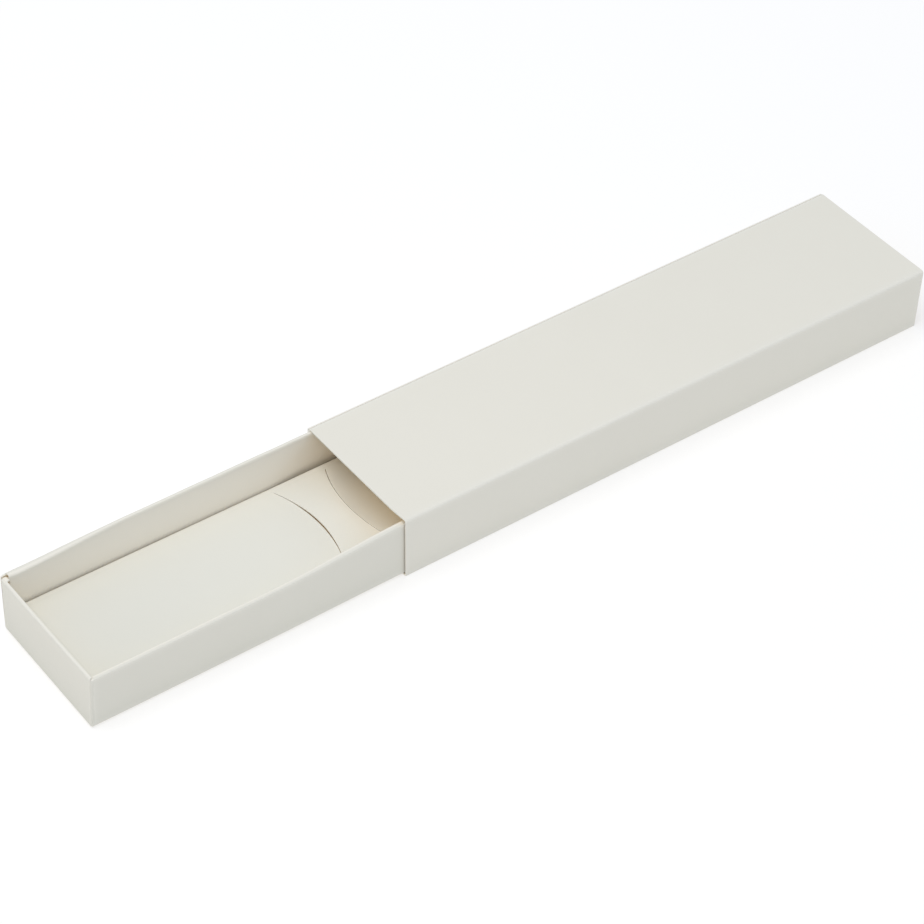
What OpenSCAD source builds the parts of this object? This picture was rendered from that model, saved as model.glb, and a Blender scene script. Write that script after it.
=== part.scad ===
// Sliding drawer gift box in folded white board: a sleeve that is open at both ends, a tray with
// rolled double walls that slides in it, and a raised platform card inside the tray.
// X runs along the slide (the tray is drawn out towards -X), the near side is -Y, Z is up.
// The origin is the middle of the sleeve's underside. Every panel runs from crease to crease.

/* [Sleeve] */
// Length of the sleeve along the slide
sleeve_length = 206; // [120:1:300]
// Outside width of the sleeve
sleeve_width = 50; // [36:0.5:80]
// Outside height of the sleeve
sleeve_height = 23.2; // [17:0.1:60]
// Height left free below the glue flap inside the far side
glue_flap_gap = 6; // [2:0.5:10]

/* [Board] */
// Thickness of the sleeve's board
sleeve_board = 0.5; // [0.3:0.05:0.9]
// Thickness of the tray's board
tray_board = 0.5; // [0.3:0.05:0.9]
// Thickness of the platform card's board
platform_board = 0.5; // [0.3:0.05:0.9]
// Inside radius of every crease
crease_radius = 0.35; // [0.1:0.05:0.8]

/* [Slide fit] */
// How far the tray is drawn out of the sleeve
drawn_out = 107; // [0:1:115]
// How far each end of the closed tray lies inside the sleeve
end_setback = 1.5; // [0:0.1:5]
// Clearance between the tray and each side of the sleeve
side_clearance = 0.3; // [0.2:0.05:1]
// Clearance under the tray
base_clearance = 0.2; // [0.1:0.05:1]
// Clearance above the tray's rims
head_clearance = 1.2; // [0.3:0.1:3]

/* [Tray] */
// Slack inside the rolled near and far walls beside the corner tab
wall_slack = 0.7; // [0.2:0.05:2]
// Slack inside the folded end walls
end_slack = 0.1; // [0.05:0.05:0.5]
// Gap at the ends of the linings, rolled rims and floor flaps
lining_gap = 0.15; // [0.1:0.05:0.5]
// How far the near and far walls stop short of the end walls' faces
corner_gap = 0.1; // [0.05:0.05:0.3]
// Width of the floor flaps along the near and far walls
side_flap_width = 12; // [5:0.5:13]
// Width of the floor flaps along the two ends
end_flap_width = 14; // [5:0.5:20]
// Length of the corner tabs between the plies of the near and far walls
corner_tab_length = 14; // [5:0.5:30]

/* [Platform card] */
// Height of the deck's top above the tray's base
platform_height = 8.8; // [4:0.1:12]
// Gap between the platform card and the creases of the floor flaps
platform_gap = 0.1; // [0.05:0.05:0.6]
// Radius of the two arc slits
slit_radius = 45; // [40:1:90]
// Width of the arc slits
slit_width = 0.3; // [0.2:0.05:1]
// Width of the band between the slits at its waist
band_width = 10.6; // [5:0.1:20]
// Distance of the band's middle from the deck's middle, along X
band_offset = -1.9; // [-10:0.1:10]
// Uncut board between the ends of a slit and the deck's creases
slit_margin = 1.6; // [1:0.1:4]

/* [Hidden] */
$fn = 96;

// Board colours
sleeve_colour = [0.90, 0.89, 0.86];
tray_colour = [0.86, 0.85, 0.81];
platform_colour = [0.93, 0.92, 0.89];

// Outside radius of a crease in each board
tray_crease = tray_board + crease_radius;
platform_crease = platform_board + crease_radius;
// How far half a crease stands in from the face of its panel
crease_swell = crease_radius * (1 - cos(45));

// The tray's outside faces, from the sleeve that it slides in
tray_near = -sleeve_width / 2 + sleeve_board + side_clearance;
tray_far = sleeve_width / 2 - 2 * sleeve_board - side_clearance;
tray_under = sleeve_board + base_clearance;
tray_rim = sleeve_height - sleeve_board - head_clearance;
tray_floor = tray_under + tray_board;
tray_width = tray_far - tray_near;
tray_length = sleeve_length - 2 * end_setback;
half_length = tray_length / 2;
half_width = tray_width / 2;
tray_place = [-sleeve_length / 2 - drawn_out + half_length, (tray_near + tray_far) / 2, 0];

// The near and far walls hold two plies and a corner tab, the end walls two plies
side_thickness = 3 * tray_board + wall_slack;
end_thickness = 2 * tray_board + end_slack;

// Each wall's rim is a half round over both of its plies
side_rim_foot = tray_rim - side_thickness / 2;
end_rim_foot = tray_rim - end_thickness / 2;

// The end walls stand between the outer plies of the near and far walls
end_half_width = half_width - tray_board;
end_flat_half = end_half_width - tray_crease;
base_edge = tray_board + tray_crease;

// Runs along X of the near and far walls' outer plies, linings and rolled rims
wall_run = tray_length - 2 * corner_gap;
long_run = tray_length - 2 * tray_crease;
rim_run = tray_length - 2 * (end_thickness + lining_gap);

// The free space between the linings, and the clearance that the linings and flaps keep in it
well_half_length = half_length - end_thickness;
well_half_width = half_width - side_thickness;
lining_clear = lining_gap + crease_swell;
end_lining_run = 2 * (well_half_width - lining_clear);
side_flap_run = 2 * (well_half_length - lining_clear);
end_flap_run = 2 * (well_half_width + tray_board - side_flap_width - lining_gap);

// The platform card stands on the floor flaps, clear of their creases
card_half_length = well_half_length - crease_radius - platform_gap;
card_half_width = well_half_width - crease_radius - platform_gap;
card_foot = tray_floor + tray_board;
card_top = tray_floor + platform_height;
leg_height = card_top - card_foot;
side_leg_run = 2 * (card_half_length - platform_crease);
end_leg_run = 2 * (card_half_width - platform_crease);
slit_half_length = card_half_width - platform_crease - slit_margin;

// Extrudes a section drawn in Y and Z along X, about the middle
module along_x(run) {
    translate([-run / 2, 0, 0])
        rotate([90, 0, 90])
            linear_extrude(height = run) children();
}

// Extrudes a section drawn in X and Z along Y, about the middle
module along_y(run) {
    translate([0, run / 2, 0])
        rotate([90, 0, 0])
            linear_extrude(height = run) children();
}

// Half of a creased bend, from the end of a flat panel to the crease line
module half_crease(board) {
    outside = board + crease_radius;
    intersection() {
        translate([outside, outside])
            difference() {
                circle(r = outside);
                circle(r = crease_radius);
            }
        polygon([[outside, outside], [outside, -outside], [-outside, -outside]]);
    }
}

// Section of one panel: outside face on the first axis, board above it, creased where asked
module panel_section(span, board, crease_at_start, crease_at_end) {
    outside = board + crease_radius;
    flat_start = crease_at_start ? outside : 0;
    flat_end = crease_at_end ? span - outside : span;
    translate([flat_start, 0])
        square([flat_end - flat_start, board]);
    if (crease_at_start)
        half_crease(board);
    if (crease_at_end)
        translate([span, 0])
            mirror([1, 0])
                half_crease(board);
}

// A quarter of the rim of a wall of that thickness, on its outside or its lining's side
module rim_quarter(thickness, side) {
    radius = thickness / 2;
    translate([radius, tray_rim - radius])
        intersection() {
            difference() {
                circle(r = radius);
                circle(r = radius - tray_board);
            }
            translate([side == "outside" ? -radius : 0, 0])
                square(radius);
        }
}

// Section of a wall's outer ply, from its rim down to the base's crease
module ply_section(rim_foot) {
    translate([0, rim_foot])
        rotate(-90)
            panel_section(rim_foot - tray_under, tray_board, false, true);
}

// Section of a wall's lining, from its rim down to the floor flap's crease
module lining_section(thickness, rim_foot) {
    translate([thickness - tray_board, rim_foot])
        rotate(-90)
            panel_section(rim_foot - tray_floor, tray_board, false, true);
}

// Section of a floor flap, from its crease inwards
module flap_section(thickness, width) {
    translate([thickness - tray_board, tray_floor])
        panel_section(width, tray_board, true, false);
}

// Section of a platform leg, from its crease down to the floor flaps
module leg_section() {
    translate([0, card_top])
        rotate(-90)
            panel_section(leg_height, platform_board, true, false);
}

module sleeve_top() {
    color(sleeve_colour)
        along_x(sleeve_length)
            translate([sleeve_width / 2 - sleeve_board, sleeve_height])
                rotate(180)
                    panel_section(sleeve_width - sleeve_board, sleeve_board, true, true);
}

module sleeve_near_side() {
    color(sleeve_colour)
        along_x(sleeve_length)
            translate([-sleeve_width / 2, sleeve_height])
                rotate(-90)
                    panel_section(sleeve_height, sleeve_board, true, true);
}

module sleeve_base() {
    color(sleeve_colour)
        along_x(sleeve_length)
            translate([-sleeve_width / 2, 0])
                panel_section(sleeve_width, sleeve_board, true, true);
}

// The far side ends in a cut edge just under the top's crease
module sleeve_far_side() {
    color(sleeve_colour)
        along_x(sleeve_length)
            translate([sleeve_width / 2, 0])
                rotate(90)
                    panel_section(sleeve_height - crease_radius, sleeve_board, true, false);
}

// The glue flap hangs from the top's far crease, flat against the inside of the far side
module sleeve_glue_flap() {
    color(sleeve_colour)
        along_x(sleeve_length)
            translate([sleeve_width / 2 - sleeve_board, glue_flap_gap])
                rotate(90)
                    panel_section(sleeve_height - glue_flap_gap, sleeve_board, false, true);
}

// The base, with its near and far edges creased over the full length of the outer plies
module tray_base() {
    color(tray_colour)
        translate(tray_place) {
            along_x(long_run)
                translate([-half_width, tray_under])
                    panel_section(tray_width, tray_board, true, true);
            along_y(2 * end_flat_half)
                translate([-half_length, tray_under])
                    panel_section(tray_length, tray_board, true, true);
            for (far = [0, 1])
                mirror([0, far, 0])
                    along_x(wall_run)
                        translate([-half_width, tray_under])
                            panel_section(base_edge, tray_board, true, false);
        }
}

// Outer ply of the near wall with the outer half of its rolled rim
module side_wall() {
    translate([0, -half_width, 0]) {
        along_x(wall_run)
            ply_section(side_rim_foot);
        along_x(rim_run)
            rim_quarter(side_thickness, "outside");
        for (end = [-1, 1])
            translate([end * (wall_run + rim_run) / 4, 0, 0])
                along_x((wall_run - rim_run) / 2)
                    translate([0, side_rim_foot])
                        square([tray_board, side_thickness / 2]);
    }
}

module side_lining() {
    translate([0, -half_width, 0]) {
        along_x(long_run)
            lining_section(side_thickness, side_rim_foot);
        along_x(rim_run)
            rim_quarter(side_thickness, "lining");
    }
}

module side_floor_flap() {
    along_x(side_flap_run)
        translate([-half_width, 0])
            flap_section(side_thickness, side_flap_width);
}

// Outer ply of the left end, creased upright at both edges, with the outer half of its rim
module end_wall() {
    translate([-half_length, 0, 0]) {
        along_y(2 * end_flat_half)
            ply_section(end_rim_foot);
        translate([0, end_half_width, tray_under + tray_crease])
            rotate([0, 0, -90])
                linear_extrude(height = end_rim_foot - tray_under - tray_crease)
                    panel_section(2 * end_half_width, tray_board, true, true);
        along_y(2 * end_half_width)
            rim_quarter(end_thickness, "outside");
    }
}

// The rim's half is as wide as the end wall, and the lining fits between the side linings
module end_lining() {
    translate([-half_length, 0, 0]) {
        along_y(end_lining_run)
            lining_section(end_thickness, end_rim_foot);
        along_y(2 * end_half_width)
            rim_quarter(end_thickness, "lining");
    }
}

module end_floor_flap() {
    along_y(end_flap_run)
        translate([-half_length, 0])
            flap_section(end_thickness, end_flap_width);
}

// Tab from an upright crease of the left end, glued inside the near wall's outer ply
module corner_tab() {
    translate([-half_length, -end_half_width, tray_under + tray_crease])
        linear_extrude(height = side_rim_foot - tray_under - tray_crease)
            panel_section(tray_crease + corner_tab_length, tray_board, true, false);
}

module tray_near_wall() {
    color(tray_colour)
        translate(tray_place)
            side_wall();
}

module tray_near_lining() {
    color(tray_colour)
        translate(tray_place)
            side_lining();
}

module tray_near_floor_flap() {
    color(tray_colour)
        translate(tray_place)
            side_floor_flap();
}

module tray_far_wall() {
    color(tray_colour)
        translate(tray_place)
            mirror([0, 1, 0])
                side_wall();
}

module tray_far_lining() {
    color(tray_colour)
        translate(tray_place)
            mirror([0, 1, 0])
                side_lining();
}

module tray_far_floor_flap() {
    color(tray_colour)
        translate(tray_place)
            mirror([0, 1, 0])
                side_floor_flap();
}

module tray_left_end() {
    color(tray_colour)
        translate(tray_place)
            end_wall();
}

module tray_left_lining() {
    color(tray_colour)
        translate(tray_place)
            end_lining();
}

module tray_left_floor_flap() {
    color(tray_colour)
        translate(tray_place)
            end_floor_flap();
}

module tray_right_end() {
    color(tray_colour)
        translate(tray_place)
            mirror([1, 0, 0])
                end_wall();
}

module tray_right_lining() {
    color(tray_colour)
        translate(tray_place)
            mirror([1, 0, 0])
                end_lining();
}

module tray_right_floor_flap() {
    color(tray_colour)
        translate(tray_place)
            mirror([1, 0, 0])
                end_floor_flap();
}

module near_left_corner_tab() {
    color(tray_colour)
        translate(tray_place)
            corner_tab();
}

module far_left_corner_tab() {
    color(tray_colour)
        translate(tray_place)
            mirror([0, 1, 0])
                corner_tab();
}

module near_right_corner_tab() {
    color(tray_colour)
        translate(tray_place)
            mirror([1, 0, 0])
                corner_tab();
}

module far_right_corner_tab() {
    color(tray_colour)
        translate(tray_place)
            rotate([0, 0, 180])
                corner_tab();
}

// An arc slit that bows towards +X, drawn about the centre of its circle
module arc_slit() {
    intersection() {
        difference() {
            circle(r = slit_radius + slit_width / 2);
            circle(r = slit_radius - slit_width / 2);
        }
        translate([0, -slit_half_length])
            square([slit_radius + slit_width, 2 * slit_half_length]);
    }
}

// The deck, creased on four sides, with two slits that bow towards each other
module platform_deck() {
    color(platform_colour)
        translate(tray_place)
            difference() {
                union() {
                    along_x(side_leg_run)
                        translate([card_half_width, card_top])
                            rotate(180)
                                panel_section(2 * card_half_width, platform_board, true, true);
                    along_y(end_leg_run)
                        translate([card_half_length, card_top])
                            rotate(180)
                                panel_section(2 * card_half_length, platform_board, true, true);
                }
                translate([band_offset, 0, card_top - 2 * platform_board])
                    linear_extrude(height = 3 * platform_board) {
                        translate([-band_width / 2 - slit_radius, 0])
                            arc_slit();
                        translate([band_width / 2 + slit_radius, 0])
                            rotate(180)
                                arc_slit();
                    }
            }
}

// Leg under the deck's near crease
module side_leg() {
    along_x(side_leg_run)
        translate([-card_half_width, 0])
            leg_section();
}

// Leg under the deck's left crease
module end_leg() {
    along_y(end_leg_run)
        translate([-card_half_length, 0])
            leg_section();
}

module platform_near_leg() {
    color(platform_colour)
        translate(tray_place)
            side_leg();
}

module platform_far_leg() {
    color(platform_colour)
        translate(tray_place)
            mirror([0, 1, 0])
                side_leg();
}

module platform_left_leg() {
    color(platform_colour)
        translate(tray_place)
            end_leg();
}

module platform_right_leg() {
    color(platform_colour)
        translate(tray_place)
            mirror([1, 0, 0])
                end_leg();
}

sleeve_top();
sleeve_near_side();
sleeve_base();
sleeve_far_side();
sleeve_glue_flap();
tray_base();
tray_near_wall();
tray_near_lining();
tray_near_floor_flap();
tray_far_wall();
tray_far_lining();
tray_far_floor_flap();
tray_left_end();
tray_left_lining();
tray_left_floor_flap();
tray_right_end();
tray_right_lining();
tray_right_floor_flap();
near_left_corner_tab();
far_left_corner_tab();
near_right_corner_tab();
far_right_corner_tab();
platform_deck();
platform_near_leg();
platform_far_leg();
platform_left_leg();
platform_right_leg();
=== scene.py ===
import math

import bmesh
import bpy
import numpy as np
from mathutils import Matrix, Vector


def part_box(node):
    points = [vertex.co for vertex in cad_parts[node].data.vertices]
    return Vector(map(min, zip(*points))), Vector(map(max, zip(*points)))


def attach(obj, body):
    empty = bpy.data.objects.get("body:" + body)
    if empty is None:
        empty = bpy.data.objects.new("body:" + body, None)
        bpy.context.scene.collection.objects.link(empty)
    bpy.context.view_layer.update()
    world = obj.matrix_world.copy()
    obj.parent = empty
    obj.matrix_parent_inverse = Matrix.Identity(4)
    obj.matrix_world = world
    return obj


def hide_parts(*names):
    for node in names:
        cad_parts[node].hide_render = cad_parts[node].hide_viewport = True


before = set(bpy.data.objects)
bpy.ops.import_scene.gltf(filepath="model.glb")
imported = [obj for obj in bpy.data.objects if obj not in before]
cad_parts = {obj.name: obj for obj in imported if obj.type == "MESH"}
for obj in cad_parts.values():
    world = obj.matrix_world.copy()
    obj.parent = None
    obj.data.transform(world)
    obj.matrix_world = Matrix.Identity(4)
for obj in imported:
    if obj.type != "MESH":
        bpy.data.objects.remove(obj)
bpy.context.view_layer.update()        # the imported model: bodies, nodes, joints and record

mm = 0.001


# folded board

board = {
    "thickness": 0.50 * mm,
    "creaseRadius": 0.35 * mm,         # inside of every crease
    "footOut": 0.62 * mm,              # outside radius of the tighter creases along the feet
    "glueGap": 0.02 * mm,              # between two glued faces
    "step": 2.0 * mm,                  # mesh step along the panels
    "holdSteps": (0.06 * mm, 0.40 * mm),     # close steps at a panel's ends
    "arcStep": 0.11 * mm,              # longest mesh step round a bend
    "arcSteps": 8,                     # fewest mesh steps round a bend
    "tiny": 0.001 * mm,                # lengths below this count as none
    "merge": 0.004 * mm,               # and points nearer than this become one
    "sharpAngle": math.radians(38),    # cut edges stay sharp, creases stay smooth
    "wearAndHighlightReach": 0.45 * mm,            # how far the rubbed look and its painted highlight run off a bend or a cut edge
    "edgeWearAndHighlight": 0.7,                   # wear and painted highlight of a cut edge, where a crease has 1
    "paintedGlow": 0.17,                      # painted glow standing in for light through the board, where the sleeve's top reaches 1
    "paintedLight": 0.77,                      # painted light level of a face: 0 the darkest painted shade, 1 the lit tone of the drawer's lining
    "footShade": 0.50,                     # how much painted shade darkens a foot
    "footShadeReach": 1.1 * mm,
    "footShadeDepth": (1.5 * mm, 1.0 * mm),      # none deeper than this, fading over this
    "footShadeAbove": 0.18,                   # and how much weaker painted shade lies above that
    "footShadeAboveReach": 3.0 * mm,
}
board["creaseOut"] = board["thickness"] + board["creaseRadius"]


def smooth(x):
    # 0 below 0, 1 above 1, and 3x^2 - 2x^3 between
    x = np.clip(x, 0.0, 1.0)
    return x * x * (3.0 - 2.0 * x)


def spaced(start, end, step):
    # Even steps from start to end, with close ones at each end that hold the shading flat. A
    # close one that would come near the first even step is left out.
    length = abs(end - start)
    count = max(2, int(round(length / step)))
    hold = np.array(board["holdSteps"]) / length
    hold = hold[hold < 0.4 / count]
    fractions = np.unique(np.concatenate([np.linspace(0.0, 1.0, count + 1), hold, 1.0 - hold]))
    return start + (end - start) * fractions


def foldedPath(corners, radii, samples=None):
    # An open path through the corners, each inner corner replaced by an arc of its radius.
    # Gives the points, and for each its place (2k to 2k+1 on flat k, above 2k+1 on bend k)
    # and its wear and painted highlight: 1 on a bend, fading with the distance from it on the
    # flats.
    corners = np.asarray(corners, float)
    samples = samples or {}
    start = corners[0]
    points = [start[None]]
    places = [np.zeros(1)]
    wearsAndHighlights = [np.zeros(1)]
    for k in range(len(corners) - 1):
        ahead = corners[k + 1] - corners[k]
        ahead = ahead / np.linalg.norm(ahead)
        bends = k + 2 < len(corners)
        end = corners[k + 1]
        if bends:
            after = corners[k + 2] - corners[k + 1]
            after = after / np.linalg.norm(after)
            turn = math.atan2(ahead[0] * after[1] - ahead[1] * after[0], ahead @ after)
            end = corners[k + 1] - ahead * radii[k] * math.tan(abs(turn) / 2.0)
        length = np.linalg.norm(end - start)
        if length > board["tiny"]:
            along = samples.get(k)
            if along is None:
                along = spaced(0.0, length, board["step"])
            points.append(start + np.outer(along, ahead))
            places.append(2 * k + along / length)
            before = along if k > 0 else np.full(len(along), 1.0)
            behind = length - along if bends else np.full(len(along), 1.0)
            wearsAndHighlights.append(np.exp(-np.minimum(before, behind) / board["wearAndHighlightReach"]))
        if bends:
            normal = math.copysign(1.0, turn) * np.array([-ahead[1], ahead[0]])
            centre = end + normal * radii[k]
            count = max(board["arcSteps"], int(radii[k] * abs(turn) / board["arcStep"]))
            sweep = np.linspace(0.0, turn, count + 1)[1:]
            spoke = -normal * radii[k]
            arcX = centre[0] + spoke[0] * np.cos(sweep) - spoke[1] * np.sin(sweep)
            arcY = centre[1] + spoke[0] * np.sin(sweep) + spoke[1] * np.cos(sweep)
            points.append(np.stack([arcX, arcY], axis=1))
            places.append(2 * k + 1 + np.arange(1, count + 1) / (count + 1))
            wearsAndHighlights.append(np.ones(count))
            start = points[-1][-1]
    points = np.concatenate(points)
    places = np.concatenate(places)
    wearsAndHighlights = np.concatenate(wearsAndHighlights)
    keep = np.ones(len(points), bool)
    keep[1:] = np.linalg.norm(np.diff(points, axis=0), axis=1) > board["tiny"]
    return points[keep], places[keep], wearsAndHighlights[keep]


def carried(path, along, axis, wearAndHighlight, edges=True):
    # A path in two axes carried along the third: one row for each path point, one column for
    # each step, which may differ from row to row. The last three layers are rubbed wear with a
    # painted highlight, the painted light level and a painted glow.
    rows = len(path)
    along = np.broadcast_to(along, (rows, np.shape(along)[-1]))
    first = np.broadcast_to(path[:, :1], along.shape)
    second = np.broadcast_to(path[:, 1:], along.shape)
    layers = [first, second]
    layers.insert(axis, along)
    wornAndHighlit = np.broadcast_to(wearAndHighlight[:, None], along.shape).copy()
    if edges:
        reach = np.minimum(along - along[:, :1], along[:, -1:] - along)
        rubbedAndHighlit = np.exp(-np.abs(reach) / board["wearAndHighlightReach"])
        wornAndHighlit = np.maximum(wornAndHighlit, board["edgeWearAndHighlight"] * rubbedAndHighlit)
    paintedLight = np.full_like(wornAndHighlit, board["paintedLight"])
    return np.stack(layers + [wornAndHighlit, paintedLight, np.full_like(wornAndHighlit, board["paintedGlow"])], axis=2)


def facing(grid, outward):
    # the same grid, turned over if its first cell doesn't face outwards
    normal = np.cross(grid[1, 0, :3] - grid[0, 0, :3], grid[0, 1, :3] - grid[0, 0, :3])
    if normal @ np.asarray(outward, float) < 0:
        grid = grid[:, ::-1]
    return grid


def mirrored(grid, axis, middle):
    # the grid mirrored about a plane, with its columns reversed so that it still faces outwards
    grid = grid.copy()
    grid[..., axis] = 2.0 * middle - grid[..., axis]
    return grid[:, ::-1]


def paintedFootShade(paintedLight, height, depth):
    # Painted shade darkens the light level along a foot, and a little just above it; height is
    # above the underside, depth is inwards from the outer face.
    foot = board["footShade"] * smooth(1.0 - height / board["footShadeReach"])
    foot = foot + board["footShadeAbove"] * np.exp(-height / board["footShadeAboveReach"])
    deepest, fade = board["footShadeDepth"]
    return paintedLight * (1.0 - np.minimum(foot, 1.0) * smooth((deepest - depth) / fade))


def foldedSheet(name, grids, materials):
    # One sheet from grids that share edges: the printed face is laid down, then the board's
    # thickness grows behind it, with its own finish on the reverse and on the cut edges.
    points = []
    quads = []
    offset = 0
    for grid in grids:
        rows, columns = grid.shape[:2]
        index = offset + np.arange(rows * columns).reshape(rows, columns)
        cells = [index[:-1, :-1], index[1:, :-1], index[1:, 1:], index[:-1, 1:]]
        quads.append(np.stack([cell.ravel() for cell in cells], axis=1))
        points.append(grid.reshape(-1, 6))
        offset += rows * columns
    points = np.concatenate(points)
    quads = np.concatenate(quads)
    printed = bpy.data.meshes.new(name + "Printed")
    printed.from_pydata(points[:, :3].tolist(), [], quads.tolist())
    for layer, label in ((3, "wearAndHighlight"), (4, "paintedLight"), (5, "paintedGlow")):
        values = printed.attributes.new(label, "FLOAT", "POINT")
        values.data.foreach_set("value", points[:, layer].astype(np.float32))
    work = bmesh.new()
    work.from_mesh(printed)
    bmesh.ops.remove_doubles(work, verts=work.verts, dist=board["merge"])
    work.to_mesh(printed)
    work.free()
    for material in materials:
        printed.materials.append(material)
    piece = bpy.data.objects.new(name, printed)
    bpy.context.scene.collection.objects.link(piece)
    thicken = piece.modifiers.new("board", "SOLIDIFY")
    thicken.thickness = board["thickness"]
    thicken.offset = -1.0
    thicken.use_even_offset = True
    thicken.material_offset = 1
    thicken.material_offset_rim = 2
    graph = bpy.context.evaluated_depsgraph_get()
    solid = bpy.data.meshes.new_from_object(piece.evaluated_get(graph))
    piece.modifiers.clear()
    piece.data = solid
    solid.name = name
    bpy.data.meshes.remove(printed)
    solid.shade_smooth()
    solid.set_sharp_from_angle(angle=board["sharpAngle"])
    print(name, len(solid.vertices), "points", len(solid.polygons), "faces")
    return piece


# finishes

class Value:
    # one number output of a node, with Python's operators adding Math nodes
    def __init__(self, tree, socket):
        self.tree = tree
        self.socket = socket

    def join(self, operation, *others, swap=False):
        node = self.tree.nodes.new("ShaderNodeMath")
        node.operation = operation
        terms = [self] + list(others)
        if swap:
            terms.reverse()
        for slot, term in zip(node.inputs, terms):
            if isinstance(term, Value):
                self.tree.links.new(term.socket, slot)
            else:
                slot.default_value = term
        return Value(self.tree, node.outputs[0])

    def __add__(self, other):
        return self.join("ADD", other)

    def __radd__(self, other):
        return self.join("ADD", other)

    def __sub__(self, other):
        return self.join("SUBTRACT", other)

    def __rsub__(self, other):
        return self.join("SUBTRACT", other, swap=True)

    def __mul__(self, other):
        return self.join("MULTIPLY", other)

    def __rmul__(self, other):
        return self.join("MULTIPLY", other)

    def clamp(self):
        node = self.tree.nodes.new("ShaderNodeClamp")
        self.tree.links.new(self.socket, node.inputs[0])
        return Value(self.tree, node.outputs[0])


class Finish:
    # a material and the one method that adds its nodes
    def __init__(self, name):
        self.material = bpy.data.materials.new(name)
        self.material.use_nodes = True
        self.tree = self.material.node_tree
        self.shader = self.tree.nodes["Principled BSDF"]

    def node(self, kind, settings=None, inputs=None, output=0):
        node = self.tree.nodes.new(kind)
        for key, setting in (settings or {}).items():
            setattr(node, key, setting)
        for key, given in (inputs or {}).items():
            self.feed(node.inputs[key], given)
        return Value(self.tree, node.outputs[output])

    def feed(self, slot, given):
        if isinstance(given, Value):
            self.tree.links.new(given.socket, slot)
        else:
            slot.default_value = given

    def mixed(self, factor, first, second):
        # inputs 0, 6 and 7 of a colour Mix are its factor and its two colours
        colours = [c if isinstance(c, Value) else (*c, 1.0) for c in (first, second)]
        inputs = {0: factor, 6: colours[0], 7: colours[1]}
        return self.node("ShaderNodeMix", {"data_type": "RGBA"}, inputs, output=2)

    def noise(self, place, scale, detail, roughness, seed):
        settings = {"noise_dimensions": "4D"}
        inputs = {"Vector": place, "Scale": scale, "Detail": detail}
        inputs.update({"Roughness": roughness, "W": seed})
        return self.node("ShaderNodeTexNoise", settings, inputs)


# detail, roughness and seed of each noise
noises = {
    "drift": (3.0, 0.50, 1.7),
    "felt": (6.0, 0.62, 4.1),
    "fibre": (4.0, 0.70, 8.3),
    "fleck": (2.0, 0.50, 2.9),
}


def boardFinish(name, look):
    # Board: a shade that drifts over centimetres, a felt of fibres that also makes the bump,
    # a few dull flecks, and a lighter, drier line where a crease or a cut edge is rubbed, partly a
    # painted highlight.
    finish = Finish(name)
    place = finish.node("ShaderNodeTexCoord", output="Object")
    strand = finish.node("ShaderNodeMapping", None, {
        "Vector": place, "Rotation": look["strandTurn"], "Scale": look["strandScale"]})
    drift = finish.noise(place, look["driftScale"], *noises["drift"])
    felt = finish.noise(place, look["feltScale"], *noises["felt"])
    fibre = finish.noise(strand, look["fibreScale"], *noises["fibre"])
    flecks = finish.noise(place, look["fleckScale"], *noises["fleck"])
    fleck = ((flecks - look["fleckLevel"]) * look["fleckContrast"]).clamp()
    wearAndHighlight = finish.node("ShaderNodeAttribute", {"attribute_name": "wearAndHighlight"}, output="Fac")
    # rubbed wear and painted highlight along creases and cut edges
    rubbedAndHighlit = (wearAndHighlight * (look["rubAndHighlightLevel"] + felt)).clamp()
    grain = (felt - 0.5) + (fibre - 0.5)
    shade = 0.5 + (drift - 0.5) * look["driftAmount"] + grain * look["grainAmount"]
    shade = (shade - fleck * look["fleckAmount"]).clamp()
    # painted light and shade: each point's level mixes a shaded and a lit copy of the same white
    paintedLight = finish.node("ShaderNodeAttribute", {"attribute_name": "paintedLight"}, output="Fac")
    shadedTone = finish.mixed(shade, look["dark"], look["light"])
    full = finish.mixed(shade, look["litDark"], look["litLight"])
    plain = finish.mixed(paintedLight.clamp(), shadedTone, full)
    colour = finish.mixed(rubbedAndHighlit * look["rubAndHighlightAmount"], plain, look["rubbedAndHighlit"])
    rough = look["roughness"] + grain * look["grainRough"] + rubbedAndHighlit * look["rubRough"]
    height = felt * look["feltHeight"] + fibre * look["fibreHeight"]
    bump = finish.node("ShaderNodeBump", None, {
        "Strength": look["bumpStrength"], "Distance": look["bumpDepth"], "Height": height})
    finish.feed(finish.shader.inputs["Base Color"], colour)
    finish.feed(finish.shader.inputs["Roughness"], rough.clamp())
    finish.feed(finish.shader.inputs["Normal"], bump)
    finish.shader.inputs["Specular IOR Level"].default_value = look["gloss"]
    # painted glow: the reverse emits warm light, standing in for light through the board
    if look["paintedGlow"] > 0.0:
        paintedGlow = finish.node("ShaderNodeAttribute", {"attribute_name": "paintedGlow"}, output="Fac")
        glow = finish.mixed(paintedGlow.clamp(), (0, 0, 0), look["paintedGlowColour"])
        finish.feed(finish.shader.inputs["Emission Color"], glow)
        finish.shader.inputs["Emission Strength"].default_value = look["paintedGlow"]
    return finish.material


def evenShades(dark, light):
    # the same two shades with painted shade and fully lit, so the painted light level changes
    # nothing
    return {"dark": dark, "light": light, "litDark": dark, "litLight": light}


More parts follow.
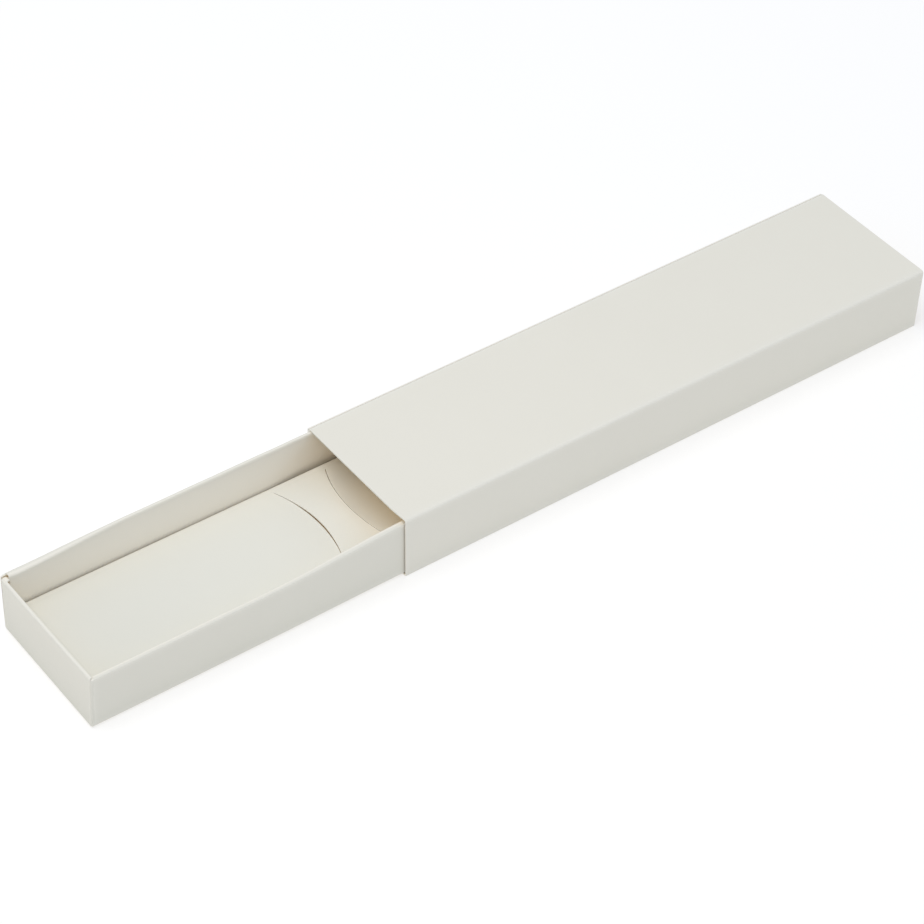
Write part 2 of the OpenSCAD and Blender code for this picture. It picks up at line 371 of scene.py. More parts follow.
# printed face: smooth white lining; reverse: the creamy back of the board; cut: its bare core
whiteFace = {
    # the first two shades are the printed white darkened by painted shade, the next two the same
    # white fully lit
    "dark": (0.435, 0.455, 0.398),
    "light": (0.475, 0.495, 0.438),
    "litDark": (0.910, 0.852, 0.745),
    "litLight": (0.950, 0.892, 0.785),
    "rubbedAndHighlit": (0.850, 0.815, 0.730),
    "driftScale": 55.0,
    "driftAmount": 0.50,
    "feltScale": 1500.0,
    "fibreScale": 2600.0,
    "grainAmount": 0.35,
    "fleckScale": 900.0,
    "fleckLevel": 0.74,
    "fleckAmount": 0.30,
    "fleckContrast": 14.0,
    "strandTurn": (0.0, 0.0, 0.35),    # the fibres lie a little askew
    "strandScale": (0.35, 1.0, 1.0),   # and are drawn out along the box
    "rubAndHighlightAmount": 0.75,
    "rubAndHighlightLevel": 0.45,
    "roughness": 0.72,
    "grainRough": 0.10,
    "rubRough": 0.06,
    "feltHeight": 0.6,
    "fibreHeight": 0.4,
    "gloss": 0.28,
    "bumpStrength": 0.30,
    "bumpDepth": 0.03 * mm,
    "paintedGlow": 0.0,
    "paintedGlowColour": (1.0, 0.70, 0.30),
}
creamBack = {
    **whiteFace,
    **evenShades((0.640, 0.510, 0.330), (0.730, 0.600, 0.410)),
    "grainAmount": 0.60,
    "fleckLevel": 0.70,
    "roughness": 0.82,
    "gloss": 0.15,
    "bumpStrength": 0.45,
    "paintedGlow": 0.33,                 # painted glow: the reverse glows warm, standing in for light through the board
}
cutCore = {
    **whiteFace,
    **evenShades((0.840, 0.800, 0.720), (0.930, 0.895, 0.825)),
    "feltScale": 3200.0,
    "fibreScale": 5200.0,
    "grainAmount": 0.80,
    "roughness": 0.88,
    "gloss": 0.10,
    "bumpStrength": 0.60,
}
boardFinishes = [
    boardFinish("boardWhiteFace", whiteFace),
    boardFinish("boardCreamBack", creamBack),
    boardFinish("boardCutCore", cutCore),
]
cardFace = {
    **whiteFace,
    "dark": (0.500, 0.490, 0.440),
    "light": (0.540, 0.530, 0.480),
    "litDark": (0.873, 0.847, 0.753),
    "litLight": (0.913, 0.887, 0.793),
}
cardFinishes = [boardFinish("cardWhiteFace", cardFace), *boardFinishes[1:]]
print("finishes", len({*boardFinishes, *cardFinishes}))


# sleeve

sleeve = {
    "left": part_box("sleeve_top")[0][0],
    "right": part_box("sleeve_top")[1][0],
    "near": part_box("sleeve_near_side")[0][1],
    "far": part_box("sleeve_far_side")[1][1],
    "under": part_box("sleeve_base")[0][2],
    "top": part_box("sleeve_top")[1][2],
    # cut edge of the far side, just under the fold, and of the glue flap
    "farEdge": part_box("sleeve_far_side")[1][2] - 0.10 * mm,
    "flapEnd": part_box("sleeve_glue_flap")[0][2],
    # painted light: the top is painted lighter than the sides
    "topPaintedLight": 0.80,
    "sidePaintedLight": 0.73,
    "topSag": 0.12 * mm,
    "sideSag": 0.08 * mm,
    "sagRamp": 1.6,               # how steeply the top's sag sets in off its long creases
    "endSag": 0.35,               # how much of it is left at the open ends
    "slant": (0.45 * mm, 1.15 * mm),         # cut back of the near left edge, at crease and foot
    "slantReach": (7.0 * mm, 25.0 * mm),     # it fades onto the top, and along the box
    "paintedGlowReach": 6.0 * mm,        # the painted glow fades towards the top's creases
    "hair": 0.02 * mm,            # a point within this of a face lies on it
}


def makeSleeve():
    # one wrap from the glue flap over the top, down the near side, under and up the far side
    s = sleeve
    flapFace = s["far"] - board["thickness"] - board["glueGap"]
    corners = [(flapFace, s["flapEnd"]), (flapFace, s["top"]), (s["near"], s["top"]),
               (s["near"], s["under"]), (s["far"], s["under"]), (s["far"], s["farEdge"])]
    radii = [board["creaseOut"], board["creaseOut"], board["footOut"], board["footOut"]]
    path, _, wearAndHighlight = foldedPath(corners, radii)
    along = spaced(s["left"], s["right"], board["step"])
    grid = facing(carried(path, along, 0, wearAndHighlight), (0, 1, 0))
    middle = 0.5 * (s["near"] + s["far"])
    half = 0.5 * (s["far"] - s["near"])
    # the top sinks and the near side draws in a little, most at mid width and mid length
    length = 1.0 - np.abs(2.0 * (grid[..., 0] - s["left"]) / (s["right"] - s["left"]) - 1.0) ** 2
    width = smooth(s["sagRamp"] * (1.0 - np.abs(grid[..., 1] - middle) / half))
    height = 4.0 * (grid[..., 2] - s["under"]) * (s["top"] - grid[..., 2]) / s["top"] ** 2
    onTop = grid[..., 2] > s["top"] - s["hair"]
    onNear = grid[..., 1] < s["near"] + s["hair"]
    grid[..., 2] -= onTop * s["topSag"] * width * (s["endSag"] + (1.0 - s["endSag"]) * length)
    grid[..., 1] += onNear * s["sideSag"] * smooth(height) * length
    foot = np.clip((s["top"] - grid[..., 2]) / (s["top"] - s["under"]), 0.0, 1.0)
    back = s["slant"][0] + (s["slant"][1] - s["slant"][0]) * foot
    back = back * smooth(1.0 - (grid[..., 1] - s["near"]) / s["slantReach"][0])
    grid[..., 0] += back * smooth(1.0 - (grid[..., 0] - s["left"]) / s["slantReach"][1])
    depth = half - np.abs(grid[..., 1] - middle)
    # painted shade: the sides darker than the top, and darker again along the foot
    paintedLight = np.where(grid[..., 2] > s["top"] - board["creaseOut"], s["topPaintedLight"], s["sidePaintedLight"])
    grid[..., 4] = paintedFootShade(paintedLight, grid[..., 2] - s["under"], depth)
    # painted glow on the top only, most at its near side
    nearness = 0.5 - 0.5 * (grid[..., 1] - middle) / half
    grid[..., 5] = onTop * smooth(depth / s["paintedGlowReach"]) * nearness
    return foldedSheet("sleeveWrap", [grid], boardFinishes)


# drawer tray

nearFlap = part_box("tray_near_floor_flap")
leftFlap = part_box("tray_left_floor_flap")
tray = {
    "left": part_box("tray_left_end")[0][0],
    "right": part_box("tray_right_end")[1][0],
    "near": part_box("tray_near_wall")[0][1],
    "far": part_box("tray_far_wall")[1][1],
    "under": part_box("tray_base")[0][2],
    "rim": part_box("tray_near_wall")[1][2],
    "sideFlapEdge": nearFlap[1][1],
    "sideFlapHalf": 0.5 * (nearFlap[1][0] - nearFlap[0][0]),
    "endFlapEdge": leftFlap[1][0],
    "endFlapHalf": 0.5 * (leftFlap[1][1] - leftFlap[0][1]),
    "tabEnd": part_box("near_left_corner_tab")[1][0],
    "sideWall": 2.20 * mm,       # near and far walls: two plies rolled round a tab
    "endWall": 1.10 * mm,        # end walls: two plies folded flat
    "cornerGap": 0.10 * mm,
    "rimGap": 0.06 * mm,         # between the end walls and the rolled rims
    "liningClear": 0.25 * mm,    # between the end linings and the side linings
    "rimOut": 0.50 * mm,         # outside radius of the rims' outer crease
    "rimIn": 0.85 * mm,          # and of their crease on the lining's side
    "farBow": 0.21 * mm,         # outward bow of the far wall at mid length
    "nearBow": (0.10 * mm, -0.25 * mm, -150.0 * mm, 45.0 * mm),
    "endBow": 0.12 * mm,
    "flare": 0.20 * mm,          # the far wall's left end stands out
    "wallDepth": (1.4 * mm, 1.2 * mm),       # a wall's shaping ends this far inside it, and fades
    "lean": (0.70 * mm, 0.15 * mm),          # how far the left and right ends lean in at the rim
    "leanReach": 12.0 * mm,                  # and how much of the long walls goes with them
    "leftRise": (-1.95 * mm, -0.65 * mm),    # left rim above the CAD's, at its near and far end
    "rightRise": -0.10 * mm,
    "nearRise": (-2.35 * mm, 1.90 * mm, -150.0 * mm, 50.0 * mm),
    "farRise": (0.25 * mm, 0.68 * mm, -209.0 * mm, 38.0 * mm),
    "settle": 30.0 * mm,         # both long rims come back to the CAD's height at the right end
    "pinchFrom": 10.0 * mm,      # the pinch of the rolls sets in at about the card's height
    "nearPinch": (0.55 * mm, -0.40 * mm, -150.0 * mm, 45.0 * mm),
    "farPinch": (0.00 * mm, 1.05 * mm, -204.0 * mm, 40.0 * mm),
    "farFootPinch": (0.00 * mm, 1.05 * mm, -122.0 * mm, 20.0 * mm),
    "endPinch": 0.60 * mm,       # the far roll is pinched again over its last stretch at the left
    "endPinchReach": 5.0 * mm,
    "rollShort": 0.95 * mm,      # it stops short of the left end there
    "rollFade": 8.0 * mm,
    "ear": 0.95 * mm,            # and the end's rim widens into the corner that it leaves
    "earStep": (0.05 * mm, 0.30 * mm),       # past the lining, and over this width
    "earRows": (0.05, 0.35, 7),  # first, last (mm past the lining) and number of its mesh rows
    "rimInset": 0.02 * mm,       # the end rims stop this far inside the outer plies
    "rimEnd": 0.1 * mm,          # width of their last cells
    "rimRound": 1.0 * mm,        # length over which their ends are rounded
    "rimPull": 0.25,             # by this many mm
    "earPull": 0.08,             # and at the ear by this many
    "cornerDrop": 0.80 * mm,     # the far wall's top corner is cut down where the roll starts
    "dropReach": 1.90 * mm,
    "rimWave": 0.05 * mm,
    "cornerOut": 0.40 * mm,      # outside radius of the creases at the four corners
    "curl": 0.45 * mm,           # radius at which the long walls' ends turn in at the corners
    "sidePaintedLight": (0.625, 0.670),  # painted light level of the outside at foot and rim: painted shade, darker towards the foot
    "endPaintedLight": (0.625, 0.740),
    "droop": 0.18 * mm,          # the drawn end hangs a little, most at its near side
    "hair": 0.1 * mm,            # slack where a point's height is set against a face's
}
tray["middleX"] = 0.5 * (tray["left"] + tray["right"])
tray["middleY"] = 0.5 * (tray["near"] + tray["far"])
tray["halfLength"] = 0.5 * (tray["right"] - tray["left"])
tray["halfWidth"] = 0.5 * (tray["far"] - tray["near"])
tray["rimHalf"] = tray["halfLength"] - tray["endWall"] - tray["rimGap"]
tray["floor"] = tray["under"] + 2.0 * board["thickness"]      # top of the floor flaps


def ramp(x, values):
    # starts at the first value and climbs by the second, from the third place on over the
    # fourth length
    base, climb, start, length = values
    return base + climb * smooth((x - start) / length)


def lifted(grid):
    # 0 at the tray's underside, 1 at its rim
    return np.clip((grid[..., 2] - tray["under"]) / (tray["rim"] - tray["under"]), 0.0, 1.0)


def drooped(grid, lift):
    # how far the tray's foot hangs at each point, none of it at the rim
    t = tray
    drawn = smooth((t["middleX"] - grid[..., 0]) / t["halfLength"])
    across = np.clip((grid[..., 1] - t["middleY"]) / t["halfWidth"], -1.0, 1.0)
    return t["droop"] * drawn * (0.7 - 0.3 * across) * (1.0 - lift)


def endLean(grid, lift):
    # Both ends lean in towards the rim, the left one most at its near corner and not at its far
    # one, and take the last of the long walls with them.
    t = tray
    x = grid[..., 0]
    nearness = 0.5 * (1.0 - (grid[..., 1] - t["middleY"]) / t["halfWidth"])
    leftShift = t["lean"][0] * nearness * smooth(1.0 - (x - t["left"]) / t["leanReach"])
    rightShift = t["lean"][1] * smooth(1.0 - (t["right"] - x) / t["leanReach"])
    return (leftShift - rightShift) * lift ** 1.5


def shapeSides(grid):
    # The long walls as folded by hand: bowed out at mid length, the near rim low where the tray
    # is drawn out, the far roll high, and each roll pressed flatter over part of its length.
    t = tray
    lift = lifted(grid)
    x = grid[..., 0]
    y = grid[..., 1] - t["middleY"]
    side = np.sign(y)
    isFar = side > 0
    place = (x - t["middleX"]) / t["halfLength"]
    depth = t["halfWidth"] - np.abs(y)
    past, fade = t["wallDepth"]
    onWall = smooth((t["sideWall"] + past - depth) / fade)
    # painted shade: the lining keeps the full tone, the outside is darker and darkest at its foot
    inner = smooth(2.0 * depth / t["sideWall"] - 0.5) * (grid[..., 2] > t["under"] + t["hair"])
    outer = t["sidePaintedLight"][0] + (t["sidePaintedLight"][1] - t["sidePaintedLight"][0]) * lift
    grid[..., 4] = inner + (1.0 - inner) * paintedFootShade(outer, grid[..., 2] - t["under"], depth)
    deckLine = (t["pinchFrom"] - t["under"]) / (t["rim"] - t["under"])
    high = smooth((lift - deckLine) / (1.0 - deckLine))
    pinch = np.where(isFar, ramp(x, t["farPinch"]), ramp(x, t["nearPinch"])) * high
    last = smooth(1.0 - (x - t["left"]) / t["endPinchReach"])
    pinch = np.maximum(pinch, isFar * t["endPinch"] * last * high)
    aboveFloor = grid[..., 2] > t["floor"] - t["hair"]
    pinch = np.maximum(pinch, isFar * ramp(x, t["farFootPinch"])) * aboveFloor
    pinch = pinch * np.clip(depth / t["sideWall"], 0.0, 1.0)
    # three waves of different length along the rim, none of them at the ends or at the foot
    wave = np.sin(31.0 * place + 0.7) + 0.6 * np.sin(53.0 * place + 2.1 * side)
    wave = wave + 0.4 * np.sin(17.0 * place)
    wave = wave * t["rimWave"] * 0.5 * (1.0 - place ** 8) * lift ** 2
    bow = np.where(isFar, t["farBow"] * smooth(lift), ramp(x, t["nearBow"]))
    bow = bow * (1.0 - np.minimum(np.abs(x - t["middleX"]) / t["rimHalf"], 1.0) ** 4)
    drawn = smooth((t["middleX"] - x) / (0.8 * t["halfLength"]))
    bow = np.where(isFar, np.maximum(bow, t["flare"] * drawn * smooth(2.0 * lift)), bow)
    rise = np.where(isFar, ramp(x, t["farRise"]), ramp(x, t["nearRise"]))
    rise = rise * smooth((t["right"] - x) / t["settle"])
    drop = isFar * t["cornerDrop"] * smooth(1.0 - (x - t["left"]) / t["dropReach"]) * lift ** 8
    grid[..., 0] += endLean(grid, lift) * onWall
    grid[..., 1] += side * onWall * (bow + pinch) + onWall * wave
    grid[..., 2] += onWall * (rise * lift - drop) - drooped(grid, lift)
    return grid


def shapeEnds(grid):
    # the end walls: leaning in, a little proud at mid width, their rims level with the near one
    t = tray
    lift = lifted(grid)
    y = (grid[..., 1] - t["middleY"]) / t["halfWidth"]
    isLeft = grid[..., 0] < t["middleX"]
    depth = t["halfLength"] - np.abs(grid[..., 0] - t["middleX"])
    # painted shade: the end's lining keeps the full tone, its outside is darker and darkest at its
    # foot
    inner = smooth(2.0 * depth / t["endWall"] - 0.5) * (grid[..., 2] > t["floor"] - t["hair"])
    outer = t["endPaintedLight"][0] + (t["endPaintedLight"][1] - t["endPaintedLight"][0]) * lift
    grid[..., 4] = inner + (1.0 - inner) * paintedFootShade(outer, grid[..., 2] - t["under"], depth)
    leftRise = t["leftRise"][0] + (t["leftRise"][1] - t["leftRise"][0]) * 0.5 * (1.0 + y)
    rise = np.where(isLeft, leftRise, t["rightRise"])
    onWall = smooth(1.0 + (grid[..., 2] - t["floor"]) / (0.5 * mm))
    bow = np.where(isLeft, -t["endBow"], t["endBow"]) * (1.0 - y ** 2) * lift ** 2
    grid[..., 0] += endLean(grid, lift) + bow
    grid[..., 2] += onWall * rise * lift - drooped(grid, lift)
    return grid


def makeTray():
    t = tray
    out = board["footOut"]
    inside = board["creaseRadius"]
    middleX = t["middleX"]
    middleY = t["middleY"]
    endHalf = t["halfWidth"] - board["thickness"]
    endFlat = endHalf - t["cornerOut"]
    liningHalf = t["halfWidth"] - t["sideWall"] - t["liningClear"]
    longHalf = t["halfLength"] - out
    rimHalf = t["rimHalf"]
    wallHalf = t["halfLength"] - t["cornerGap"]
    closer = liningHalf + np.linspace(*t["earRows"]) * mm
    across = spaced(-endFlat, endFlat, board["step"])
    across = np.union1d(across, [-liningHalf, liningHalf, *closer])
    lining = across[np.abs(across) < liningHalf + board["tiny"]]
    edges = np.array([-1.0, 1.0]) * (t["halfWidth"] - out)
    baseRows = np.union1d(across, edges) - edges[0]

    # near flap, near lining, near rim, near wall, base, and the same up the far side
    nearLining = t["near"] + t["sideWall"]
    farLining = t["far"] - t["sideWall"]
    farFlapEdge = 2.0 * middleY - t["sideFlapEdge"]
    corners = [(t["sideFlapEdge"], t["floor"]), (nearLining, t["floor"]), (nearLining, t["rim"]),
               (t["near"], t["rim"]), (t["near"], t["under"]), (t["far"], t["under"]),
               (t["far"], t["rim"]), (farLining, t["rim"]), (farLining, t["floor"]),
               (farFlapEdge, t["floor"])]
    radii = [inside, t["rimIn"], t["rimOut"], out, out, t["rimOut"], t["rimIn"], inside]
    path, places, wearAndHighlight = foldedPath(corners, radii, {4: baseRows})
    fold = np.minimum(places, 17.0 - places)
    wearAndHighlight = np.where((fold > 3.0) & (fold < 6.0), 0.6 * wearAndHighlight, wearAndHighlight)
    half = np.interp(fold, [1.0, 1.9, 2.7, 2.9], [t["sideFlapHalf"], longHalf, longHalf, rimHalf])
    steps = spaced(-wallHalf, wallHalf, board["step"]) / wallHalf
    rows = middleX + np.outer(half, steps)
    rolled = (places > 8.5) * np.interp(fold, [2.5, 2.9, 5.0, 6.0], [0.0, 1.0, 1.0, 0.0])
    rows += t["rollShort"] * rolled[:, None] * smooth(1.0 - (rows - t["left"]) / t["rollFade"])
    sideGrids = [facing(carried(path, rows, 0, wearAndHighlight), (0, 0, 1))]

    # the outer ply and the edge of the base run on to the corners, with a flat top corner
    foot = t["rim"] - t["rimOut"]
    reach = (places > 5.5) & (path[:, 1] < foot + board["tiny"])
    reach &= path[:, 0] < middleY - endFlat + board["tiny"]
    climb = np.linspace(1.0, 0.0, 5)[:-1]
    strip = np.stack([np.full(4, t["near"]), foot + climb * t["rimOut"]], axis=1)
    cornerPath = np.concatenate([strip, path[reach]])
    cornerWearAndHighlight = np.concatenate([0.5 + 0.5 * climb, wearAndHighlight[reach]])
    curl = np.radians(np.linspace(0.0, 90.0, 9))
    columns = np.concatenate([[rimHalf, longHalf], wallHalf - t["curl"] * (1.0 - np.sin(curl))])
    inward = np.concatenate([[0.0, 0.0], t["curl"] * (1.0 - np.cos(curl))])
    rounding = np.sqrt(1.0 - (0.6 * (columns - rimHalf) / (wallHalf - rimHalf)) ** 2)
    corner = carried(cornerPath, middleX - columns, 0, cornerWearAndHighlight, False)
    corner[:4, :, 2] = foot + (corner[:4, :, 2] - foot) * rounding
    ahead = np.gradient(cornerPath, axis=0)
    ahead = ahead / np.linalg.norm(ahead, axis=1)[:, None]
    # inwards from the face, which looks along (ahead z, -ahead y)
    corner[..., 1] -= ahead[:, 1:] * inward
    corner[..., 2] += ahead[:, :1] * inward
    corner = facing(corner, (0, -1, 0))
    sideGrids += [corner, mirrored(corner, 1, middleY), mirrored(corner, 0, middleX)]
    sideGrids.append(mirrored(mirrored(corner, 0, middleX), 1, middleY))

    # the base between the edges, as far as the crease under the left end
    edge = np.stack([across + middleY, np.full(len(across), t["under"])], axis=1)
    rows = middleX - columns[:2]
    baseEnd = facing(carried(edge, rows, 0, np.zeros(len(across)), False), (0, 0, -1))

    # left end: floor flap and lining, between the long linings
    liningX = t["left"] + t["endWall"]
    rim = 0.5 * t["endWall"]
    corners = [(t["endFlapEdge"], t["floor"]), (liningX, t["floor"]), (liningX, t["rim"] - rim)]
    path, places, wearAndHighlight = foldedPath(corners, [inside])
    half = t["endFlapHalf"] + (liningHalf - t["endFlapHalf"]) * smooth(places - 1.0)
    rows = middleY + np.outer(half, lining / liningHalf)
    endGrids = [baseEnd, facing(carried(path, rows, 1, wearAndHighlight), (0, 0, 1))]

    # the ends' rim: a half round as wide as the end, its top corners cut round, with an ear
    # where the far roll stops short of it
    turn = np.linspace(0.0, math.pi, 2 * board["arcSteps"] + 1)
    roundX = t["left"] + rim + rim * np.cos(turn)
    halfRound = np.stack([roundX, t["rim"] - rim + rim * np.sin(turn)], axis=1)
    full = endHalf - t["rimInset"]
    rows = np.union1d(across, [-full, -full + t["rimEnd"], full - t["rimEnd"], full])
    rimGrid = carried(halfRound, middleY + rows, 1, 0.6 * np.ones(len(turn)))
    inset = ((1.0 - turn / math.pi) ** 0.6)[:, None]
    y = rimGrid[..., 1] - middleY
    pull = smooth((np.abs(y) - full + t["rimRound"]) / t["rimRound"]) * np.sign(y)
    earGrid = rimGrid.copy()
    rimGrid[..., 1] -= inset * pull * t["rimPull"] * mm
    earGrid[..., 1] -= inset * pull * np.where(y > 0.0, t["earPull"], t["rimPull"]) * mm
    begin, widen = t["earStep"]
    earGrid[..., 0] += t["ear"] * inset * smooth((y - liningHalf - begin) / widen)
    rims = [facing(earGrid, (1, 0, 0)), mirrored(facing(rimGrid, (1, 0, 0)), 0, middleX)]

    # left end: outer ply, the crease under it and the two corner tabs
    rows = middleY + across
    heights = spaced(t["under"] + out, t["rim"] - rim, board["step"])
    plain = np.zeros(len(heights))
    face = np.stack([np.full(len(heights), t["left"]), heights], axis=1)
    endGrids.append(facing(carried(face, rows, 1, plain, False), (-1, 0, 0)))
    corners = [(t["left"], t["under"] + out), (t["left"], t["under"]),
               (t["left"] + out, t["under"])]
    path, _, wearAndHighlight = foldedPath(corners, [out])
    endGrids.append(facing(carried(path, rows, 1, wearAndHighlight, False), (-1, 0, 0)))
    tabY = middleY - (endHalf - board["glueGap"])
    corners = [(t["tabEnd"], tabY), (t["left"], tabY), (t["left"], middleY - endFlat)]
    path, _, wearAndHighlight = foldedPath(corners, [t["cornerOut"] - board["glueGap"]])
    nearTab = facing(carried(path, heights, 2, wearAndHighlight), (0, -1, 0))
    endGrids.append(nearTab)
    endGrids.append(mirrored(nearTab, 1, middleY))
    endGrids += [mirrored(grid, 0, middleX) for grid in endGrids] + rims
    grids = [shapeSides(grid.copy()) for grid in sideGrids]
    grids += [shapeEnds(grid.copy()) for grid in endGrids]
    return foldedSheet("trayBlank", grids, boardFinishes)


# platform card

card = {
    "near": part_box("platform_near_leg")[0][1],
    "far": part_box("platform_far_leg")[1][1],
    "legLeft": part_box("platform_left_leg")[0][0],
    "legRight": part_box("platform_right_leg")[1][0],
    "foot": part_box("platform_near_leg")[0][2],
    "top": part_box("platform_deck")[1][2],
    "slitRadius": 45.0 * mm,
    "slitWidth": (0.17 * mm, 0.25 * mm),     # of the left slit and the right one
    "slitMargin": 1.6 * mm,       # uncut board between a slit's end and the crease
    "slitTaper": 0.40 * mm,       # a slit opens to its width over this length
    "closing": (0.0, 0.04, 0.12, 0.25, 0.40),      # its mesh rows there, mm from its end
    "bandWidth": 10.6 * mm,       # at the waist between the slits
    "bandOffset": -1.9 * mm,      # the band's middle from the deck's middle
    "bandRise": (0.62 * mm, 1.00 * mm),      # the band stands proud at its left and right slit
    "bandCurl": 0.25 * mm,        # and turns down just before the right one
    "tongueRise": 0.70 * mm,      # the right tongue lifts with it
    "tongueFall": 4.2 * mm,       # and slopes down to the deck's height over this length
    "tongueReach": 14.0 * mm,
    "tongueDip": 0.25 * mm,       # the left tongue sinks a little at its slit
    "dipReach": 3.5 * mm,
    # painted shade: the deck a little darker towards its left end
    "deckPaintedLight": (-0.10, 0.14, -205.0 * mm, 85.0 * mm),
    "bandPaintedLight": 0.12,             # painted light: the band is a little lighter than the deck
    "tonguePaintedShade": -0.38,          # and painted shade: the right tongue a little darker at its slit
    "tongueShadeReach": (6.0 * mm, 9.0 * mm),
    # wear and painted highlight along the slits
    "slitWearAndHighlight": 0.8,
}


def makeCard():
    c = card
    out = board["creaseOut"]
    middleX = 0.5 * (c["legLeft"] + c["legRight"])
    middleY = 0.5 * (c["near"] + c["far"])
    halfY = 0.5 * (c["far"] - c["near"])
    flatY = halfY - out
    slitHalf = flatY - c["slitMargin"]
    closing = slitHalf - np.array(c["closing"]) * mm
    rows = np.union1d(spaced(-flatY, flatY, 1.0 * mm), np.concatenate([closing, -closing]))
    rows = rows[np.concatenate([[True], np.diff(rows) > 0.01 * mm])]

    # far leg, deck and near leg as one strip, in three grids that the slits part
    corners = [(c["far"], c["foot"]), (c["far"], c["top"]),
               (c["near"], c["top"]), (c["near"], c["foot"])]
    path, _, wearAndHighlight = foldedPath(corners, [out, out], {1: flatY - rows[::-1]})
    y = path[:, 0] - middleY
    held = np.clip(y, -flatY, flatY)
    bulge = c["slitRadius"] - np.sqrt(c["slitRadius"] ** 2 - held ** 2)
    waist = middleX + c["bandOffset"]
    leftSlit = waist - 0.5 * c["bandWidth"] - bulge
    rightSlit = waist + 0.5 * c["bandWidth"] + bulge
    opened = 0.5 * np.sqrt(np.clip((slitHalf - np.abs(y)) / c["slitTaper"], 0.0, 1.0))
    leftGap, rightGap = (width * opened for width in c["slitWidth"])
    first = np.full(len(path), c["legLeft"] + out)
    last = np.full(len(path), c["legRight"] - out)
    bounds = [(first, leftSlit - leftGap), (leftSlit + leftGap, rightSlit - rightGap),
              (rightSlit + rightGap, last)]
    grids = []
    for start, end in bounds:
        width = np.mean(end - start)
        steps = spaced(0.0, width, 1.5 * mm) / width
        along = start[:, None] + (end - start)[:, None] * steps
        grids.append(facing(carried(path, along, 0, wearAndHighlight, False), (0, 1, 0)))

    # relief: left tongue, band and right tongue no longer lie in one plane at the slits
    free = smooth(1.0 - np.abs(y) / slitHalf) ** 0.6
    for number, grid in enumerate(grids):
        x = grid[..., 0]
        rise = free[:, None]
        if number == 0:
            near = np.exp(-np.abs(leftSlit[:, None] - x) / c["dipReach"])
            grid[..., 2] -= rise * near * c["tongueDip"]
            # painted shade towards the left end
            grid[..., 4] += ramp(x, c["deckPaintedLight"])
        elif number == 1:
            part = (x - leftSlit[:, None]) / (rightSlit - leftSlit)[:, None]
            atLeft, atRight = c["bandRise"]
            curl = c["bandCurl"] * smooth(4.0 * part - 3.0)
            grid[..., 2] += rise * (atLeft + (atRight - atLeft) * part - curl)
            # painted light on the band
            grid[..., 4] += rise * c["bandPaintedLight"]
        else:
            past = x - rightSlit[:, None]
            slope = (1.0 - past / c["tongueFall"]) * np.exp(-(past / c["tongueReach"]) ** 2)
            grid[..., 2] += rise * slope * c["tongueRise"]
            # painted shade on the right tongue, most at its slit
            whole, wide = c["tongueShadeReach"]
            dull = rise * c["tonguePaintedShade"] * (1.0 - past / whole)
            grid[..., 4] += dull * np.exp(-(past / wide) ** 2)
        apart = np.minimum(np.abs(x - leftSlit[:, None]), np.abs(x - rightSlit[:, None]))
        wornAndHighlit = c["slitWearAndHighlight"] * np.exp(-apart / board["wearAndHighlightReach"]) * (free[:, None] > 0.0)
        grid[..., 3] = np.maximum(grid[..., 3], wornAndHighlit)

    # the two end legs hang from the same rows
    corners = [(c["legLeft"] + out, c["top"]), (c["legLeft"], c["top"]),
               (c["legLeft"], c["foot"])]
    path, _, wearAndHighlight = foldedPath(corners, [out])
    endLeg = facing(carried(path, middleY + rows, 1, wearAndHighlight), (0, 0, 1))
    grids.append(endLeg)
    grids.append(mirrored(endLeg, 0, middleX))
    return foldedSheet("platformCard", grids, cardFinishes)


sleeveWrap = makeSleeve()
trayBlank = makeTray()
platformCard = makeCard()

sleeveNodes = [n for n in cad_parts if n.startswith("sleeve_")]
platformNodes = [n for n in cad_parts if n.startswith("platform_")]
trayNodes = [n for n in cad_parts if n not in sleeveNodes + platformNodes]
for piece, body, slot, nodes in [
    (sleeveWrap, "sleeve", "sleeve_board", sleeveNodes),
    (trayBlank, "drawer", "tray_board", trayNodes),
    (platformCard, "drawer", "platform_board", platformNodes),
]:
    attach(piece, body)
    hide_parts(*nodes)


# floor, light and camera

studio = {
    "floorSize": 6.0,
    "floorColour": (0.50, 0.50, 0.50),
    "floorGlow": (0.98, 0.96, 0.94),
    "floorGlowStrength": 0.56,
    "floorRoughness": 0.9,
    "floorDrop": 0.03 * mm,
    "skyColour": (0.80, 0.885, 1.0),
    "skyStrength": 0.70,
    "keyColour": (1.0, 0.94, 0.855),
    "keyPower": 6.7,
    "keySize": 0.85,
    "keyPlace": (-0.42, 0.0, 1.2),
    "keyAim": (-0.05, 0.0, 0.0),
}
view = {
    "azimuth": -38.36,            # degrees round from the near side, towards the drawn end
    "elevation": 42.5,
    "roll": 2.64,
    "place": (-489.6 * mm, -539.0 * mm, 637.0 * mm),
    "lens": 118.93,
    "sensor": 36.0,
    "clipStart": 0.01,
}


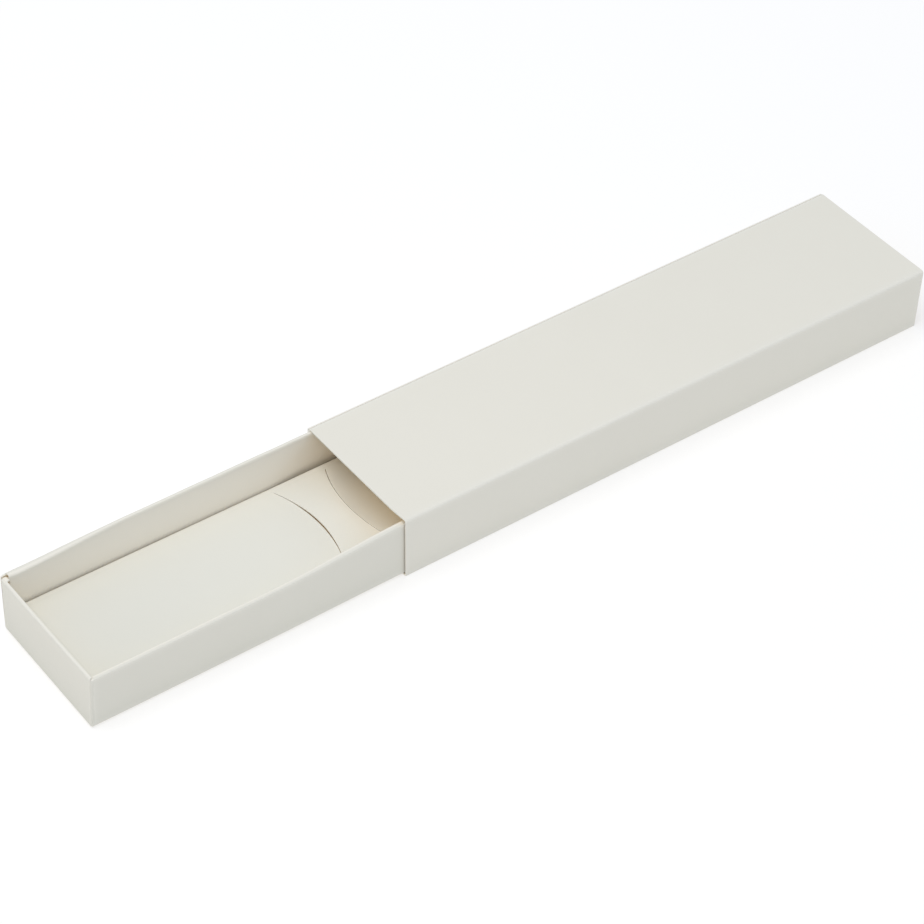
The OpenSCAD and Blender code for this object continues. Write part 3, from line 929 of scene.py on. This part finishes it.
def makeFloor():
    half = 0.5 * studio["floorSize"]
    floorMesh = bpy.data.meshes.new("floor")
    corners = [(-half, -half), (half, -half), (half, half), (-half, half)]
    floorMesh.from_pydata([(x, y, -studio["floorDrop"]) for x, y in corners], [], [(0, 1, 2, 3)])
    floor = bpy.data.objects.new("floor", floorMesh)
    bpy.context.scene.collection.objects.link(floor)
    finish = Finish("floorPaper")
    finish.shader.inputs["Base Color"].default_value = (*studio["floorColour"], 1.0)
    finish.shader.inputs["Emission Color"].default_value = (*studio["floorGlow"], 1.0)
    finish.shader.inputs["Emission Strength"].default_value = studio["floorGlowStrength"]
    finish.shader.inputs["Roughness"].default_value = studio["floorRoughness"]
    finish.shader.inputs["Specular IOR Level"].default_value = 0.0
    floorMesh.materials.append(finish.material)


def makeLight():
    world = bpy.data.worlds.new("sky")
    world.use_nodes = True
    sky = world.node_tree.nodes["Background"]
    sky.inputs["Color"].default_value = (*studio["skyColour"], 1.0)
    sky.inputs["Strength"].default_value = studio["skyStrength"]
    bpy.context.scene.world = world
    lamp = bpy.data.lights.new("keyPanel", "AREA")
    lamp.shape = "SQUARE"
    lamp.size = studio["keySize"]
    lamp.color = studio["keyColour"]
    lamp.energy = studio["keyPower"]
    key = bpy.data.objects.new("keyPanel", lamp)
    key.location = studio["keyPlace"]
    aim = Vector(studio["keyAim"]) - Vector(studio["keyPlace"])
    key.rotation_euler = aim.to_track_quat("-Z", "Y").to_euler()
    bpy.context.scene.collection.objects.link(key)


def makeCamera():
    # back points from the box to the camera; right and up are then turned by the roll
    a, e, r = (math.radians(view[k]) for k in ("azimuth", "elevation", "roll"))
    back = Vector((math.sin(a) * math.cos(e), -math.cos(a) * math.cos(e), math.sin(e)))
    right = Vector((0, 0, 1)).cross(back).normalized()
    up = back.cross(right)
    turned = (math.cos(r) * right + math.sin(r) * up, math.cos(r) * up - math.sin(r) * right)
    pose = Matrix((turned[0], turned[1], back)).transposed().to_4x4()
    pose.translation = Vector(view["place"])
    lens = bpy.data.cameras.new("photoCamera")
    lens.sensor_width = view["sensor"]
    lens.lens = view["lens"]
    lens.clip_start = view["clipStart"]
    camera = bpy.data.objects.new("photoCamera", lens)
    camera.matrix_world = pose
    bpy.context.scene.collection.objects.link(camera)
    bpy.context.scene.camera = camera


makeFloor()
makeLight()
makeCamera()
bpy.context.scene.view_settings.view_transform = "Standard"
print("studio ready")
